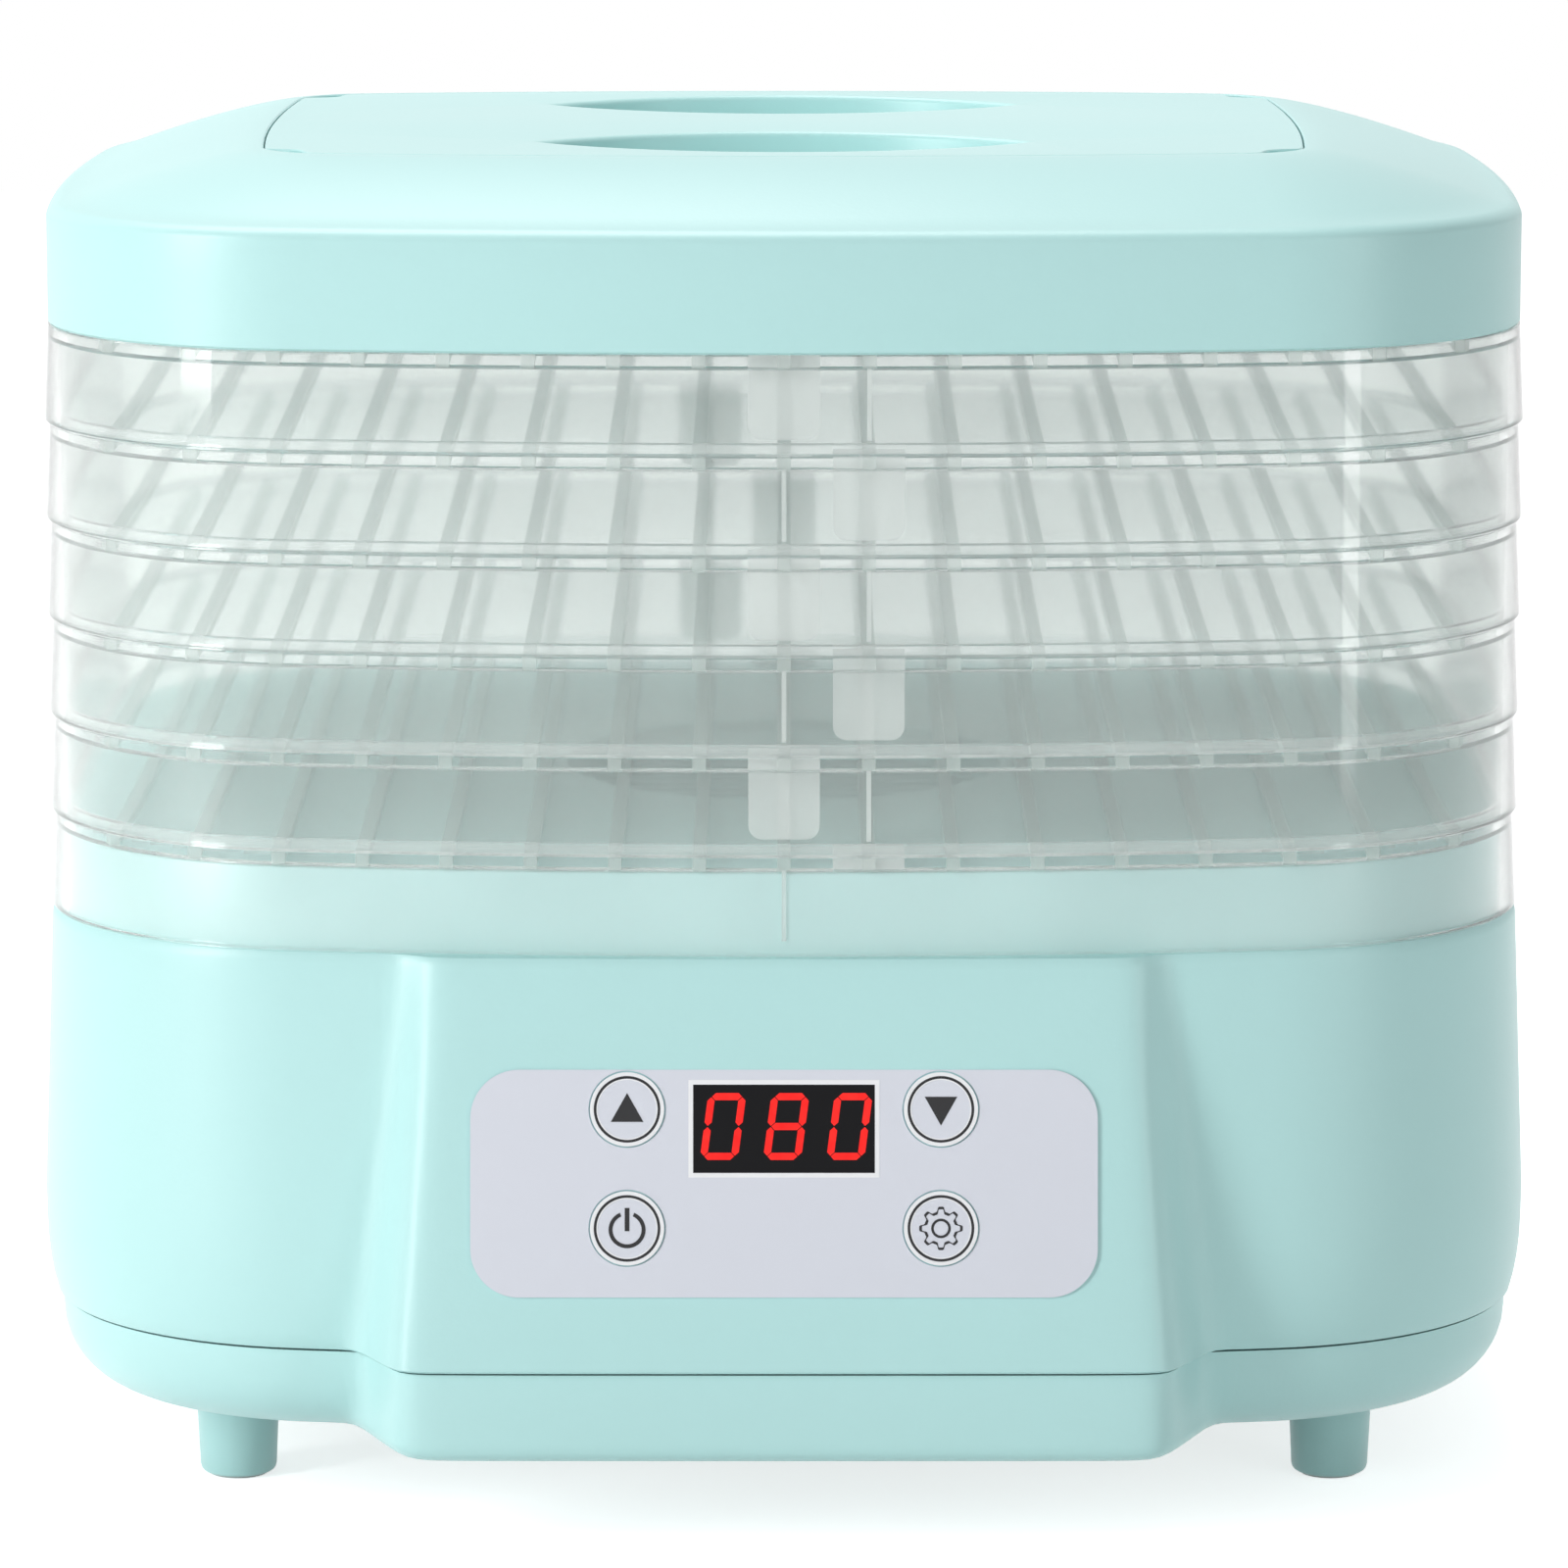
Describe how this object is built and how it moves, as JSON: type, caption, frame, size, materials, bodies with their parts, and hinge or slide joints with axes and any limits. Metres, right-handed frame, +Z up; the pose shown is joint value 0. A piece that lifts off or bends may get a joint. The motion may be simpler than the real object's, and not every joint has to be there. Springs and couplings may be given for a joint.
{
  "type": "food dehydrator",
  "caption": "Stacking food dehydrator: mint base with fan, heater and digital controls, clear slotted trays and a lid with a grip bar.",
  "frame": {"origin": "centre of the whole object's plan, on the surface it stands on", "axes": "+Z up; +X to the right of a user who faces the controls; -Y towards that user"},
  "size_m": [0.3368, 0.29, 0.298],
  "materials": {
    "mint_plastic": "satin moulded mint plastic",
    "clear_plastic": "clear moulded plastic, polished",
    "screw_steel": "plain zinc-plated steel",
    "pad_rubber": "matt pale rubber",
    "dark_plastic": "dark heat-resistant plastic",
    "mica_board": "pressed mica sheet",
    "heater_wire": "heating wire",
    "motor_iron": "laminated iron",
    "copper_winding": "enamelled copper wire",
    "bush_bronze": "sintered bronze",
    "overlay_film": "printed lavender-grey film",
    "display_black": "black smoked window",
    "circuit_board": "green glass-fibre board",
    "key_plastic": "printed key cap",
    "gland_rubber": "pale moulded bushing"
  },
  "bodies": {
    "base": {"upper_housing": "mint_plastic", "lower_housing": "mint_plastic", "outlet_grille": "mint_plastic", "housing_screws": "screw_steel", "duct_screws": "screw_steel", "motor_screws": "screw_steel", "board_screws": "screw_steel", "foot_pads": "pad_rubber", "fan_duct": "dark_plastic", "heater_frame": "mica_board", "heater_rings": "heater_wire", "thermal_cutout": "dark_plastic", "motor_stator": "motor_iron", "motor_coil": "copper_winding", "motor_lower_plate": "motor_iron", "motor_upper_plate": "motor_iron", "motor_bushes": "bush_bronze", "control_overlay": "overlay_film", "display_lens": "display_black", "display_module": "display_black", "control_board": "circuit_board", "tact_switches": "dark_plastic", "cord_gland": "gland_rubber"},
    "tray_6_body": {"tray_6": "clear_plastic"},
    "tray_5_body": {"tray_5": "clear_plastic"},
    "tray_4_body": {"tray_4": "clear_plastic"},
    "tray_3_body": {"tray_3": "clear_plastic"},
    "tray_2_body": {"tray_2": "clear_plastic"},
    "tray_1_body": {"tray_1": "clear_plastic"},
    "lid": {"lid_shell": "mint_plastic", "lid_handle_panel": "mint_plastic", "lid_screws": "screw_steel"},
    "fan_rotor": {"fan_impeller": "dark_plastic", "motor_shaft": "screw_steel", "motor_rotor": "motor_iron"},
    "key_up_body": {"key_up": "key_plastic"},
    "key_down_body": {"key_down": "key_plastic"},
    "key_power_body": {"key_power": "key_plastic"},
    "key_set_body": {"key_set": "key_plastic"}
  },
  "joints": [
    {"name": "tray_6_lift", "type": "slide", "parent": "base", "child": "tray_6_body", "axis": [0, 0, 1], "range_m": [0, 0.045]},
    {"name": "tray_5_lift", "type": "slide", "parent": "tray_6_body", "child": "tray_5_body", "axis": [0, 0, 1], "range_m": [0, 0.045]},
    {"name": "tray_4_lift", "type": "slide", "parent": "tray_5_body", "child": "tray_4_body", "axis": [0, 0, 1], "range_m": [0, 0.045]},
    {"name": "tray_3_lift", "type": "slide", "parent": "tray_4_body", "child": "tray_3_body", "axis": [0, 0, 1], "range_m": [0, 0.045]},
    {"name": "tray_2_lift", "type": "slide", "parent": "tray_3_body", "child": "tray_2_body", "axis": [0, 0, 1], "range_m": [0, 0.045]},
    {"name": "tray_1_lift", "type": "slide", "parent": "tray_2_body", "child": "tray_1_body", "axis": [0, 0, 1], "range_m": [0, 0.045]},
    {"name": "lid_lift", "type": "slide", "parent": "tray_1_body", "child": "lid", "axis": [0, 0, 1], "range_m": [0, 0.09]},
    {"name": "fan_spin", "type": "hinge", "parent": "base", "child": "fan_rotor", "pos_m": [0, 0.00658, 0.084], "axis": [0, 0, 1], "continuous": true},
    {"name": "key_up_press", "type": "slide", "parent": "base", "child": "key_up_body", "axis": [0, 0.9848, -0.1736], "range_m": [0, 0.0004], "stiffness_N_per_m": 500, "springref_m": -0.0003},
    {"name": "key_down_press", "type": "slide", "parent": "base", "child": "key_down_body", "axis": [0, 0.9848, -0.1736], "range_m": [0, 0.0004], "stiffness_N_per_m": 500, "springref_m": -0.0003},
    {"name": "key_power_press", "type": "slide", "parent": "base", "child": "key_power_body", "axis": [0, 0.9848, -0.1736], "range_m": [0, 0.0004], "stiffness_N_per_m": 500, "springref_m": -0.0003},
    {"name": "key_set_press", "type": "slide", "parent": "base", "child": "key_set_body", "axis": [0, 0.9848, -0.1736], "range_m": [0, 0.0004], "stiffness_N_per_m": 500, "springref_m": -0.0003}
  ]
}
